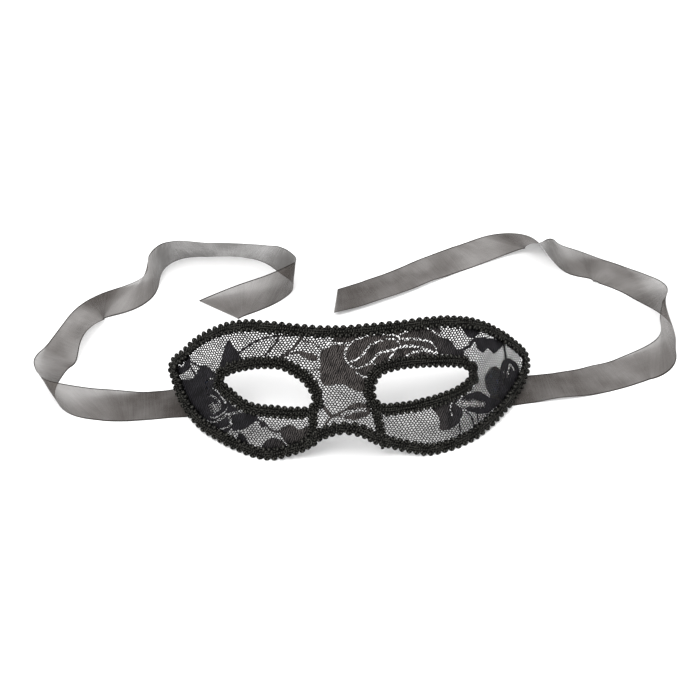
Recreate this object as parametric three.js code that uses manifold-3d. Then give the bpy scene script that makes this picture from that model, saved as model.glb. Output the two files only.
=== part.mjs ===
// A lace half mask lying on a table: stiffened lace, gimp braid round its rim and eye holes,
// and two organza ribbons, each held by a glued pad behind a temple. Millimetres, +Z up.
// The mask's own frame has X across the face, Y up the face and Z out of the face.
// The finished mask then leans back on its lower rim, as it lies on a table.

import * as THREE from 'three';
import { mergeVertices } from 'three/addons/utils/BufferGeometryUtils.js';
import Module from 'manifold-3d';

const wasm = await Module();
wasm.setup();

// Sizes of the stiffened lace
const maskWidth = 180;
const maskHeight = 70;
const wingDepth = 41.4;
const wingCurve = 3;
const templeGain = 0.25;
const browCrown = 3;
const noseDepth = 9;
const noseWidth = 13;
const noseShift = -2;
const laceThickness = 1.2;

// Sizes of the gimp braid
const braidWidth = 6;
const braidThickness = 2.2;
const scallopDepth = 0.5;
const loopPitch = 3.6;
const laceSetback = 3.6;
const seamWidth = 5;

// Sizes of the ribbons and of the pads that hold them
const ribbonWidth = 19;
const ribbonThickness = 1;
const leftRibbonLength = 319.6;
const rightRibbonLength = 326.2;
const landingRun = 7;
const padWidth = 12;
const padHeight = 15;
const padThickness = 1;

// How the pieces meet each other and the table
const clearance = 0.3;
const ribbonClearance = 0.4;
const restFlat = 0.5;
const yaw = 2.5;

const halfWidth = maskWidth / 2;
const halfHeight = maskHeight / 2;
const braidMiddle = clearance + braidThickness / 2;

// Outer edge of the rim braid, clockwise from the left temple, in shares of half the width and height
const rimShape = [
  { across: -0.958, up: 0.290 },
  { across: -0.935, up: 0.430 },
  { across: -0.870, up: 0.560 },
  { across: -0.800, up: 0.715 },
  { across: -0.655, up: 0.880 },
  { across: -0.530, up: 0.925 },
  { across: -0.410, up: 0.895 },
  { across: -0.185, up: 0.820 },
  { across: -0.045, up: 0.805 },
  { across: 0.200, up: 0.835 },
  { across: 0.500, up: 0.895 },
  { across: 0.680, up: 0.845 },
  { across: 0.825, up: 0.680 },
  { across: 0.965, up: 0.400 },
  { across: 0.985, up: 0.310 },
  { across: 0.990, up: 0.200 },
  { across: 0.974, up: 0.025 },
  { across: 0.895, up: -0.285 },
  { across: 0.785, up: -0.565 },
  { across: 0.650, up: -0.810 },
  { across: 0.510, up: -0.945 },
  { across: 0.400, up: -0.985 },
  { across: 0.235, up: -0.897 },
  { across: 0.110, up: -0.800 },
  { across: 0.035, up: -0.695 },
  { across: -0.037, up: -0.655 },
  { across: -0.105, up: -0.685 },
  { across: -0.170, up: -0.755 },
  { across: -0.235, up: -0.865 },
  { across: -0.370, up: -0.960 },
  { across: -0.460, up: -0.980 },
  { across: -0.605, up: -0.845 },
  { across: -0.740, up: -0.650 },
  { across: -0.812, up: -0.505 },
  { across: -0.900, up: -0.190 },
  { across: -0.948, up: 0.175 },
];

// Eye holes inside their braid, clockwise: centres in shares of the mask, outlines in shares of the hole
const leftEye = {
  name: 'left',
  across: -0.428,
  up: -0.012,
  width: 41,
  height: 18,
  shape: [
    { across: -1.00, up: 0.52 },
    { across: -0.87, up: 0.72 },
    { across: -0.62, up: 0.90 },
    { across: -0.30, up: 1.00 },
    { across: 0.20, up: 0.98 },
    { across: 0.45, up: 0.78 },
    { across: 0.83, up: 0.13 },
    { across: 1.00, up: -0.62 },
    { across: 0.93, up: -0.96 },
    { across: 0.70, up: -1.00 },
    { across: 0.14, up: -0.89 },
    { across: -0.40, up: -0.68 },
    { across: -0.75, up: -0.10 },
  ],
};
const rightEye = {
  name: 'right',
  across: 0.379,
  up: -0.028,
  width: 45,
  height: 16,
  shape: [
    { across: -1.00, up: -0.15 },
    { across: -0.94, up: 0.30 },
    { across: -0.78, up: 0.70 },
    { across: -0.35, up: 0.95 },
    { across: 0.05, up: 1.00 },
    { across: 0.66, up: 0.96 },
    { across: 0.90, up: 0.84 },
    { across: 1.00, up: 0.55 },
    { across: 0.90, up: 0.16 },
    { across: 0.55, up: -0.36 },
    { across: 0.01, up: -0.76 },
    { across: -0.55, up: -0.98 },
    { across: -0.88, up: -0.97 },
    { across: -0.99, up: -0.65 },
  ],
};

// Middle lines of the seam strips, from under each eye to the lower rim, in shares of half the mask
const seamShape = {
  left: [
    { across: -0.193, up: -0.30 },
    { across: -0.197, up: -0.55 },
    { across: -0.202, up: -0.74 },
  ],
  right: [
    { across: 0.120, up: -0.33 },
    { across: 0.142, up: -0.56 },
    { across: 0.162, up: -0.78 },
  ],
};

// Where each ribbon leaves its pad, and its folds in order along it: heading on the table, how far
// its width leans out of the table, and how far its width slews along its run, all in degrees
const leftRibbon = {
  name: 'left',
  across: -0.82,
  up: -0.057,
  length: leftRibbonLength,
  folds: [
    { at: 0, heading: 160, lean: 41, slew: 17 },
    { at: 0.031, heading: 181, lean: 6, slew: 0 },
    { at: 0.063, heading: 188, lean: 1, slew: 0 },
    { at: 0.104, heading: 185, lean: 3, slew: -2 },
    { at: 0.162, heading: 190, lean: 31, slew: 32 },
    { at: 0.206, heading: 170, lean: 73, slew: 47 },
    { at: 0.235, heading: 124, lean: 105, slew: 16 },
    { at: 0.265, heading: 89, lean: 109, slew: -27 },
    { at: 0.299, heading: 90, lean: 139, slew: -25 },
    { at: 0.338, heading: 73, lean: 173, slew: 3 },
    { at: 0.386, heading: 70, lean: 201, slew: 26 },
    { at: 0.445, heading: 57, lean: 188, slew: 4 },
    { at: 0.489, heading: 24, lean: 180, slew: 43 },
    { at: 0.523, heading: 24, lean: 161, slew: 51 },
    { at: 0.552, heading: 47, lean: 131, slew: 36 },
    { at: 0.591, heading: 76, lean: 97, slew: 16 },
    { at: 0.649, heading: 7, lean: 70, slew: -23 },
    { at: 0.717, heading: -2, lean: 64, slew: 2 },
    { at: 0.771, heading: -14, lean: 68, slew: 29 },
    { at: 0.805, heading: -42, lean: 88, slew: 21 },
    { at: 0.839, heading: -48, lean: 93, slew: 5 },
    { at: 0.873, heading: -132, lean: 89, slew: -25 },
    { at: 0.932, heading: -167, lean: 41, slew: -37 },
    { at: 1, heading: -162, lean: 0, slew: 43 },
  ],
};
const rightRibbon = {
  name: 'right',
  across: 0.82,
  up: -0.057,
  length: rightRibbonLength,
  folds: [
    { at: 0, heading: 27, lean: 139, slew: 20 },
    { at: 0.031, heading: 14, lean: 174, slew: 0 },
    { at: 0.061, heading: 8, lean: 180, slew: 0 },
    { at: 0.094, heading: 9, lean: 185, slew: -3 },
    { at: 0.162, heading: 17, lean: 178, slew: -10 },
    { at: 0.221, heading: 25, lean: 177, slew: -7 },
    { at: 0.264, heading: 32, lean: 163, slew: 43 },
    { at: 0.298, heading: 82, lean: 124, slew: 34 },
    { at: 0.328, heading: 78, lean: 121, slew: 30 },
    { at: 0.357, heading: 106, lean: 103, slew: -4 },
    { at: 0.386, heading: 122, lean: 82, slew: -30 },
    { at: 0.415, heading: 115, lean: 50, slew: -36 },
    { at: 0.464, heading: 132, lean: 11, slew: -26 },
    { at: 0.513, heading: 160, lean: -2, slew: 0 },
    { at: 0.557, heading: 190, lean: 44, slew: 32 },
    { at: 0.591, heading: 132, lean: 101, slew: 18 },
    { at: 0.615, heading: 120, lean: 116, slew: -25 },
    { at: 0.640, heading: 131, lean: 138, slew: -34 },
    { at: 0.664, heading: 164, lean: 159, slew: -22 },
    { at: 0.698, heading: 199, lean: 171, slew: -44 },
    { at: 0.776, heading: 207, lean: 180, slew: -1 },
    { at: 0.854, heading: 212, lean: 175, slew: -2 },
    { at: 0.932, heading: 206, lean: 174, slew: -2 },
    { at: 1, heading: 202, lean: 172, slew: 28 },
  ],
};

// How finely the faceted solids are drawn
const laceCellAcross = 4;
const laceCellUp = 7;
const rimCutPoints = 110;
const eyeCutPoints = 44;
const ribbonSteps = 100;
const padSides = 16;
const curveSteps = 12;
const seamSteps = 8;
const turnReach = 2;
const shoulderShare = 0.2;
const weldDistance = 1e-5;

// Where things begin, in shares of half the mask
const noseTop = 0.57;
const noseFoot = -0.71;
const templeStart = 0.78;

// How far each pad lies inward and up from its ribbon's end, in shares of its own size
const padShift = 0.5;
const padRise = 0.1;

// The rings of a pad, from its middle to its edge, and how round its corners are: 1 is an ellipse
const padSpread = [0.05, 0.6, 1];
const padRoundness = 0.6;

// The leans, in degrees, between which the resting one is sought by halving
const leastLean = 10;
const mostLean = 80;
const leanHalvings = 40;

// The lace's front face

function smoothShare(share) {
  const t = THREE.MathUtils.clamp(share, 0, 1);
  return t * t * (3 - 2 * t);
}

function faceHeight(x, y) {
  const side = Math.abs(x) / halfWidth;
  const rise = y / halfHeight;
  const wing = wingDepth * side ** wingCurve * (1 + templeGain * rise);
  const crown = browCrown * rise ** 2;
  const along = smoothShare((noseTop - rise) / (noseTop - noseFoot));
  const ridge = noseDepth * Math.exp(-(((x - noseShift) / noseWidth) ** 2)) * along;
  return ridge - wing - crown;
}

function facePoint(x, y) {
  return new THREE.Vector3(x, y, faceHeight(x, y));
}

function faceNormal(x, y) {
  const step = 0.01;
  const slopeX = (faceHeight(x + step, y) - faceHeight(x - step, y)) / (2 * step);
  const slopeY = (faceHeight(x, y + step) - faceHeight(x, y - step)) / (2 * step);
  return new THREE.Vector3(-slopeX, -slopeY, 1).normalize();
}

// Lines drawn on the lace

function placed(rows, centreX, centreY, halfX, halfY) {
  return rows.map((row) => {
    const x = centreX + row.across * halfX;
    const y = centreY + row.up * halfY;
    return new THREE.Vector3(x, y, 0);
  });
}

function curveOnFace(points, closed) {
  const curve = new THREE.CatmullRomCurve3(points, closed, 'centripetal');
  return curve.getPoints(points.length * curveSteps).map((p) => facePoint(p.x, p.y));
}

function lineLength(line) {
  let length = 0;
  for (let i = 1; i < line.length; i += 1) {
    length += line[i].distanceTo(line[i - 1]);
  }
  return length;
}

function spaced(line, count) {
  const step = lineLength(line) / count;
  const result = [line[0].clone()];
  let travelled = 0;
  for (let i = 1; i < line.length && result.length <= count; i += 1) {
    const piece = line[i].distanceTo(line[i - 1]);
    while (result.length <= count && result.length * step <= travelled + piece + 1e-9) {
      const share = (result.length * step - travelled) / piece;
      result.push(line[i - 1].clone().lerp(line[i], share));
    }
    travelled += piece;
  }
  return result;
}

// Points along a line with the direction across it on the face, to its right, smoothed over a few points
function framesAlong(line, count, closed) {
  const points = spaced(line, count);
  if (closed) {
    points.pop();
  }
  const last = points.length - 1;
  return points.map((p, i) => {
    const i0 = closed ? (i - turnReach + points.length) % points.length : Math.max(i - turnReach, 0);
    const i1 = closed ? (i + turnReach) % points.length : Math.min(i + turnReach, last);
    const before = points[i0];
    const after = points[i1];
    const run = after.clone().sub(before).normalize();
    const right = run.cross(faceNormal(p.x, p.y)).normalize();
    return { point: facePoint(p.x, p.y), right };
  });
}

// A point beside a line, on the face or above it
function offsetPoint(frame, across, above) {
  const beside = frame.point.clone().addScaledVector(frame.right, across);
  return facePoint(beside.x, beside.y).addScaledVector(faceNormal(beside.x, beside.y), above);
}

// Closed solids

function solidGeometry(positions, indices) {
  const geometry = new THREE.BufferGeometry();
  geometry.setAttribute('position', new THREE.Float32BufferAttribute(positions, 3));
  geometry.setIndex(indices);
  if (signedVolume(geometry) < 0) {
    for (let i = 0; i < indices.length; i += 3) {
      [indices[i + 1], indices[i + 2]] = [indices[i + 2], indices[i + 1]];
    }
    geometry.setIndex(indices);
  }
  return geometry;
}

function signedVolume(geometry) {
  const place = geometry.attributes.position;
  const index = geometry.index;
  const corners = [new THREE.Vector3(), new THREE.Vector3(), new THREE.Vector3()];
  let volume = 0;
  for (let i = 0; i < index.count; i += 3) {
    corners.forEach((corner, k) => corner.fromBufferAttribute(place, index.getX(i + k)));
    volume += corners[0].dot(corners[1].clone().cross(corners[2])) / 6;
  }
  return volume;
}

// A skin over rings of points, joined end to end or closed with a cap at each end
function loft(rings, closed) {
  const size = rings[0].length;
  const positions = rings.flat().flatMap((p) => [p.x, p.y, p.z]);
  const indices = [];
  const spans = closed ? rings.length : rings.length - 1;
  for (let i = 0; i < spans; i += 1) {
    const here = i * size;
    const next = ((i + 1) % rings.length) * size;
    for (let k = 0; k < size; k += 1) {
      const turn = (k + 1) % size;
      indices.push(here + k, here + turn, next + turn);
      indices.push(here + k, next + turn, next + k);
    }
  }
  if (!closed) {
    const end = (rings.length - 1) * size;
    for (let k = 1; k < size - 1; k += 1) {
      indices.push(0, k + 1, k);
      indices.push(end, end + k, end + k + 1);
    }
  }
  return solidGeometry(positions, indices);
}

function toManifold(geometry) {
  const bare = geometry.clone();
  bare.deleteAttribute('normal');
  bare.deleteAttribute('uv');
  const merged = mergeVertices(bare, weldDistance);
  const vertProperties = new Float32Array(merged.attributes.position.array);
  const triVerts = new Uint32Array(merged.index.array);
  return new wasm.Manifold(new wasm.Mesh({ numProp: 3, vertProperties, triVerts }));
}

function toGeometry(solid) {
  const mesh = solid.getMesh();
  const geometry = new THREE.BufferGeometry();
  geometry.setAttribute('position', new THREE.BufferAttribute(new Float32Array(mesh.vertProperties), 3));
  geometry.setIndex(new THREE.BufferAttribute(new Uint32Array(mesh.triVerts), 1));
  return geometry;
}

// The braid: a rounded band whose edges swell at each loop

function braidSection(inset, width) {
  const shoulder = width * shoulderShare;
  const low = clearance;
  const high = clearance + braidThickness;
  return [
    [inset, braidMiddle],
    [shoulder, low],
    [width - shoulder, low],
    [width - inset, braidMiddle],
    [width - shoulder, high],
    [shoulder, high],
  ];
}

function braidRings(line, width, side, closed) {
  const loops = Math.max(2, Math.round(lineLength(line) / loopPitch));
  const frames = framesAlong(line, loops * 2, closed);
  return frames.map((frame, i) => {
    const inset = i % 2 === 0 ? 0 : scallopDepth;
    return braidSection(inset, width).map(([across, above]) => offsetPoint(frame, side * across, above));
  });
}

// The room that a braid needs, for trimming what ends against it
function braidRoom(line, width, side) {
  const low = -laceThickness;
  const high = clearance + braidThickness * 2;
  const corners = [
    [-clearance, low],
    [width + clearance, low],
    [width + clearance, high],
    [-clearance, high],
  ];
  const loops = Math.round(lineLength(line) / loopPitch);
  const frames = framesAlong(line, loops * 2, true);
  const rings = frames.map((frame) => {
    return corners.map(([across, above]) => offsetPoint(frame, side * across, above));
  });
  return toManifold(loft(rings, true));
}

// The outlines: positive is to the right of a clockwise line, into the lace at the rim
const intoLace = 1;
const awayFromHole = -1;
const rimLine = curveOnFace(placed(rimShape, 0, 0, halfWidth, halfHeight), true);

function eyeLine(eye) {
  const centreX = eye.across * halfWidth;
  const centreY = eye.up * halfHeight;
  return curveOnFace(placed(eye.shape, centreX, centreY, eye.width / 2, eye.height / 2), true);
}

// The lace shell: a curved sheet cut to its outline, with the two eye holes

function laceSheet() {
  const margin = laceCellUp;
  const columns = Math.round((maskWidth + 2 * margin) / laceCellAcross);
  const rows = Math.round((maskHeight + 2 * margin) / laceCellUp);
  const positions = [];
  const indices = [];
  for (const depth of [0, laceThickness]) {
    for (let j = 0; j <= rows; j += 1) {
      for (let i = 0; i <= columns; i += 1) {
        const x = THREE.MathUtils.lerp(-halfWidth - margin, halfWidth + margin, i / columns);
        const y = THREE.MathUtils.lerp(-halfHeight - margin, halfHeight + margin, j / rows);
        const p = facePoint(x, y).addScaledVector(faceNormal(x, y), -depth);
        positions.push(p.x, p.y, p.z);
      }
    }
  }
  const wide = columns + 1;
  const layer = wide * (rows + 1);
  const quad = (a, b, c, d) => indices.push(a, b, c, a, c, d);
  for (let j = 0; j < rows; j += 1) {
    for (let i = 0; i < columns; i += 1) {
      const a = j * wide + i;
      quad(a, a + 1, a + 1 + wide, a + wide);
      quad(layer + a, layer + a + wide, layer + a + 1 + wide, layer + a + 1);
    }
  }
  for (let i = 0; i < columns; i += 1) {
    const top = rows * wide + i;
    quad(i, layer + i, layer + i + 1, i + 1);
    quad(top, top + 1, layer + top + 1, layer + top);
  }
  for (let j = 0; j < rows; j += 1) {
    const left = j * wide;
    const right = left + columns;
    quad(left, left + wide, layer + left + wide, layer + left);
    quad(right, layer + right, layer + right + wide, right + wide);
  }
  return solidGeometry(positions, indices);
}

function cutLine(line, side, count) {
  return framesAlong(line, count, true).map((frame) => {
    const p = offsetPoint(frame, side * laceSetback, 0);
    return new THREE.Vector2(p.x, p.y);
  });
}

function laceShell() {
  const outline = new THREE.Shape(cutLine(rimLine, intoLace, rimCutPoints));
  for (const eye of [leftEye, rightEye]) {
    const hole = cutLine(eyeLine(eye), awayFromHole, eyeCutPoints).reverse();
    outline.holes.push(new THREE.Path(hole));
  }
  const reach = wingDepth * 2;
  const cutter = new THREE.ExtrudeGeometry(outline, { depth: reach * 2, bevelEnabled: false });
  cutter.translate(0, 0, -reach);
  return toGeometry(toManifold(laceSheet()).intersect(toManifold(cutter)));
}

// The lean at which the mask rests: its cheeks on the table, its temples over the ribbons

function heightAt(lean, p) {
  return p.y * Math.sin(lean) + p.z * Math.cos(lean);
}

const rimFrames = framesAlong(rimLine, rimCutPoints * 2, true);
const rimEdge = rimFrames.map((frame) => offsetPoint(frame, 0, braidMiddle));
const cheekEdge = rimEdge.filter((p) => Math.abs(p.x) < templeStart * halfWidth);
const templeEdge = rimEdge.filter((p) => Math.abs(p.x) >= templeStart * halfWidth);

function lowest(points, lean) {
  return Math.min(...points.map((p) => heightAt(lean, p)));
}

function restingLean() {
  const wanted = restFlat + ribbonThickness + ribbonClearance;
  let low = THREE.MathUtils.degToRad(leastLean);
  let high = THREE.MathUtils.degToRad(mostLean);
  for (let i = 0; i < leanHalvings; i += 1) {
    const middle = (low + high) / 2;
    if (lowest(templeEdge, middle) - lowest(cheekEdge, middle) < wanted) {
      low = middle;
    } else {
      high = middle;
    }
  }
  return (low + high) / 2;
}

const lean = restingLean();
const maskGroup = new THREE.Group();
maskGroup.rotation.set(lean, 0, THREE.MathUtils.degToRad(yaw), 'ZXY');
maskGroup.position.z = -lowest(cheekEdge, lean) - restFlat;
maskGroup.updateMatrix();

// The rim braid, pressed flat where it rests on the table
function rimBraid() {
  const tableSize = maskWidth * 2;
  const table = new THREE.BoxGeometry(tableSize, tableSize, maskHeight);
  table.translate(0, 0, -maskHeight / 2);
  table.applyMatrix4(maskGroup.matrix.clone().invert());
  const band = toManifold(loft(braidRings(rimLine, braidWidth, intoLace, true), true));
  return toGeometry(band.subtract(toManifold(table)));
}

// A seam strip runs between an eye's braid and the rim's, trimmed clear of both
function seamBraid(eye) {
  const middle = curveOnFace(placed(seamShape[eye.name], 0, 0, halfWidth, halfHeight), false);
  const frames = framesAlong(middle, seamSteps, false);
  const edge = frames.map((frame) => offsetPoint(frame, -seamWidth / 2, 0));
  const band = toManifold(loft(braidRings(edge, seamWidth, intoLace, false), false));
  const rimRoom = braidRoom(rimLine, braidWidth, intoLace);
  const eyeRoom = braidRoom(eyeLine(eye), braidWidth, awayFromHole);
  const pieces = band.subtract(rimRoom).subtract(eyeRoom).decompose();
  const largest = pieces.reduce((best, next) => (next.volume() > best.volume() ? next : best));
  return toGeometry(largest);
}

function roundedShare(value) {
  return Math.sign(value) * Math.abs(value) ** padRoundness;
}

function padRing(centreX, centreY, spread, above) {
  const ring = [];
  for (let k = 0; k < padSides; k += 1) {
    const angle = (k / padSides) * Math.PI * 2;
    const x = centreX + roundedShare(Math.cos(angle)) * spread * (padWidth / 2);
    const y = centreY + roundedShare(Math.sin(angle)) * spread * (padHeight / 2);
    ring.push(facePoint(x, y).addScaledVector(faceNormal(x, y), above));
  }
  return ring;
}

// A glued pad: a thin rounded square on the back of the lace
function ribbonPad(ribbon) {
  const centreX = ribbon.across * halfWidth - Math.sign(ribbon.across) * padWidth * padShift;
  const centreY = ribbon.up * halfHeight + padHeight * padRise;
  const near = -laceThickness - clearance;
  const far = near - padThickness;
  const nearRings = padSpread.map((spread) => padRing(centreX, centreY, spread, near));
  const farRings = padSpread.map((spread) => padRing(centreX, centreY, spread, far));
  return loft([...nearRings, ...farRings.reverse()], false);
}

// The ribbons

// A smooth value between rows that each give it at a share of the ribbon's length
function between(rows, name, share) {
  const last = rows.length - 1;
  let i = 0;
  while (i < last - 1 && rows[i + 1].at <= share) {
    i += 1;
  }
  const slope = (k) => {
    const a = rows[Math.max(k - 1, 0)];
    const b = rows[Math.min(k + 1, last)];
    return (b[name] - a[name]) / (b.at - a.at);
  };
  const span = rows[i + 1].at - rows[i].at;
  const t = (share - rows[i].at) / span;
  return (2 * t ** 3 - 3 * t ** 2 + 1) * rows[i][name]
    + (t ** 3 - 2 * t ** 2 + t) * span * slope(i)
    + (3 * t ** 2 - 2 * t ** 3) * rows[i + 1][name]
    + (t ** 3 - t ** 2) * span * slope(i + 1);
}

function leaningHeight(tilt) {
  return (ribbonWidth / 2) * Math.abs(Math.sin(tilt)) + (ribbonThickness / 2) * Math.abs(Math.cos(tilt));
}

// The ribbon starts flat against its pad, drops to the table and then follows its folds
function ribbonStrip(ribbon) {
  const rootX = ribbon.across * halfWidth;
  const rootY = ribbon.up * halfHeight;
  const behind = -laceThickness - clearance - padThickness - ribbonClearance - ribbonThickness / 2;
  const root = facePoint(rootX, rootY).addScaledVector(faceNormal(rootX, rootY), behind);
  root.applyMatrix4(maskGroup.matrix);
  const rootLift = root.z - leaningHeight(THREE.MathUtils.degToRad(ribbon.folds[0].lean));
  const step = ribbon.length / ribbonSteps;
  const centre = root.clone();
  const rings = [];
  let lastRun = null;
  for (let i = 0; i <= ribbonSteps; i += 1) {
    const share = i / ribbonSteps;
    const heading = THREE.MathUtils.degToRad(between(ribbon.folds, 'heading', share));
    const tilt = THREE.MathUtils.degToRad(between(ribbon.folds, 'lean', share));
    const slew = THREE.MathUtils.degToRad(between(ribbon.folds, 'slew', share));
    const run = new THREE.Vector3(Math.cos(heading), Math.sin(heading), 0);
    const level = new THREE.Vector3(Math.sin(heading), -Math.cos(heading), 0);
    const upright = new THREE.Vector3(0, 0, 1);
    if (lastRun) {
      centre.addScaledVector(run.clone().add(lastRun), step / 2);
    }
    lastRun = run;
    const landing = Math.max(0, 1 - (i * step) / landingRun);
    centre.z = leaningHeight(tilt) + rootLift * landing ** 2;
    const across = level.clone().multiplyScalar(Math.cos(tilt)).addScaledVector(upright, Math.sin(tilt));
    const thick = run.clone().cross(across).normalize().multiplyScalar(ribbonThickness / 2);
    across.addScaledVector(run, Math.tan(slew)).multiplyScalar(ribbonWidth / 2);
    rings.push([
      centre.clone().add(across).add(thick),
      centre.clone().add(across).sub(thick),
      centre.clone().sub(across).sub(thick),
      centre.clone().sub(across).add(thick),
    ]);
  }
  return loft(rings, false);
}

// Finishes
const laceFinish = new THREE.MeshStandardMaterial({ color: 0x2a2828, roughness: 0.85, metalness: 0 });
const braidFinish = new THREE.MeshStandardMaterial({ color: 0x0d0d0d, roughness: 0.7, metalness: 0 });
const ribbonFinish = new THREE.MeshStandardMaterial({ color: 0x77716d, roughness: 0.5, metalness: 0 });
const padFinish = new THREE.MeshStandardMaterial({ color: 0x14161b, roughness: 0.25, metalness: 0 });

function piece(name, geometry, finish) {
  const flat = geometry.index ? geometry.toNonIndexed() : geometry;
  flat.computeVertexNormals();
  const mesh = new THREE.Mesh(mergeVertices(flat), finish);
  mesh.name = name;
  return mesh;
}

maskGroup.add(piece('lace_shell', laceShell(), laceFinish));
maskGroup.add(piece('outer_braid', rimBraid(), braidFinish));
for (const eye of [leftEye, rightEye]) {
  const band = loft(braidRings(eyeLine(eye), braidWidth, awayFromHole, true), true);
  maskGroup.add(piece(`eye_braid_${eye.name}`, band, braidFinish));
  maskGroup.add(piece(`seam_braid_${eye.name}`, seamBraid(eye), braidFinish));
}

const ribbonGroup = new THREE.Group();
for (const ribbon of [leftRibbon, rightRibbon]) {
  maskGroup.add(piece(`ribbon_pad_${ribbon.name}`, ribbonPad(ribbon), padFinish));
  ribbonGroup.add(piece(`ribbon_${ribbon.name}`, ribbonStrip(ribbon), ribbonFinish));
}

// The origin is on the table, under the middle of the whole
const group = new THREE.Group();
group.add(maskGroup, ribbonGroup);
const extent = new THREE.Box3().setFromObject(group, true);
const middle = extent.getCenter(new THREE.Vector3());
group.position.set(-middle.x, -middle.y, 0);

export default group;
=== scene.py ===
"""A black lace half mask with braid edging and two sheer ribbons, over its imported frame.

Lengths are millimetres in the mask's own frame, X across the face, Y up it and Z out of it,
until to_table stands the mask on the table and to_row gives metres in the row frame.
"""

import math

import bpy
import numpy as np
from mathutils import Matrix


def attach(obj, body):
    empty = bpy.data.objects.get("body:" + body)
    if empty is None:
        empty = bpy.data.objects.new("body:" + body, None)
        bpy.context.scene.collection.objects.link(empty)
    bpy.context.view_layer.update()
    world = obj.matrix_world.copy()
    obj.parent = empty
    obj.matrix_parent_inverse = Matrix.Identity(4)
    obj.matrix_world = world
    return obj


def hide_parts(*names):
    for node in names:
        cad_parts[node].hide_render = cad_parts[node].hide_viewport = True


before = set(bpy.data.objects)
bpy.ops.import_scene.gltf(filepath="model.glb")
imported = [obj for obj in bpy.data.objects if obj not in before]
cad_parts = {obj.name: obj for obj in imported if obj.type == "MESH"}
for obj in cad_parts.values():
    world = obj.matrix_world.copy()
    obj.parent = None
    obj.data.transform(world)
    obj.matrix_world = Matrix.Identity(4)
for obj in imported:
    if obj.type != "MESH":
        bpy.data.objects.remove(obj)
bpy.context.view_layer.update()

# The camera, first: a long lens, looking down at the table
CAMERA_PLACE = (-0.0045, -0.7269, 0.6948)
CAMERA_TILT = math.radians(46.0)
LENS = 102.86
SENSOR = 36.0

# The mask's sizes and pose, as in the solids
HALF_WIDTH = 90.0
HALF_HEIGHT = 35.0
WING_DEPTH = 41.4
TEMPLE_GAIN = 0.25
BROW_CROWN = 3.0
NOSE_DEPTH = 9.0
NOSE_WIDTH = 13.0
NOSE_SHIFT = -2.0
NOSE_TOP = 0.57
NOSE_FOOT = -0.71
LACE_THICKNESS = 1.2
BRAID_WIDTH = 6.0
SEAM_WIDTH = 5.0
LOOP_PITCH = 3.6
EYE_LOOP_PITCH = 3.1
CLEARANCE = 0.3
RIBBON_WIDTH = 19.0
RIBBON_THICKNESS = 1.0
RIBBON_CLEARANCE = 0.4
LANDING_RUN = 7.0
GLUE_WIDTH = 9.5
GLUE_INWARD = 0.28
GLUE_RINGS = 9
GLUE_AROUND = 40
GLUE_SLANT = 0.1
GLUE_EDGE = 0.5
GLUE_DOME = 2.1
PAD_HEIGHT = 15.0
PAD_THICKNESS = 1.0
PAD_RISE = 0.1
PAD_BACK = LACE_THICKNESS + CLEARANCE + PAD_THICKNESS
LEAN = math.radians(46.11)
YAW = math.radians(2.5)
MASK_LIFT = 27.53
ROW_SHIFT = np.array([-4.503, -59.709, 0.0])
TABLE_GAP = 0.03
METRES = 0.001

# Shares of half the mask: the rim, the eye holes and the seams, as in the solids
RIM = [
    (-0.958, 0.290), (-0.935, 0.430), (-0.870, 0.560), (-0.800, 0.715), (-0.655, 0.880),
    (-0.530, 0.925), (-0.410, 0.895), (-0.185, 0.820), (-0.045, 0.805), (0.200, 0.835),
    (0.500, 0.895), (0.680, 0.845), (0.825, 0.680), (0.965, 0.400), (0.985, 0.310),
    (0.990, 0.200), (0.974, 0.025), (0.895, -0.285), (0.785, -0.565), (0.650, -0.810),
    (0.510, -0.945), (0.400, -0.985), (0.235, -0.897), (0.110, -0.800), (0.035, -0.695),
    (-0.037, -0.655), (-0.105, -0.685), (-0.170, -0.755), (-0.235, -0.865), (-0.370, -0.960),
    (-0.460, -0.980), (-0.605, -0.845), (-0.740, -0.650), (-0.812, -0.505), (-0.900, -0.190),
    (-0.948, 0.175),
]
EYES = {
    "left": {
        "centre": (-0.428, -0.012),
        "size": (41.0, 18.0),
        "shape": [
            (-1.00, 0.52), (-0.87, 0.72), (-0.62, 0.90), (-0.30, 1.00), (0.20, 0.98),
            (0.45, 0.78), (0.83, 0.13), (1.00, -0.62), (0.93, -0.96), (0.70, -1.00),
            (0.14, -0.89), (-0.40, -0.68), (-0.75, -0.10),
        ],
        "seam": [(-0.193, -0.30), (-0.197, -0.55), (-0.202, -0.74)],
        "seam_foot": (-0.205, -0.80),
    },
    "right": {
        "centre": (0.379, -0.028),
        "size": (45.0, 16.0),
        "shape": [
            (-1.00, -0.15), (-0.94, 0.30), (-0.78, 0.70), (-0.35, 0.95), (0.05, 1.00),
            (0.66, 0.96), (0.90, 0.84), (1.00, 0.55), (0.90, 0.16), (0.55, -0.36),
            (0.01, -0.76), (-0.55, -0.98), (-0.88, -0.97), (-0.99, -0.65),
        ],
        "seam": [(0.120, -0.33), (0.142, -0.56), (0.162, -0.78)],
        "seam_foot": (0.172, -0.84),
    },
}

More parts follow.
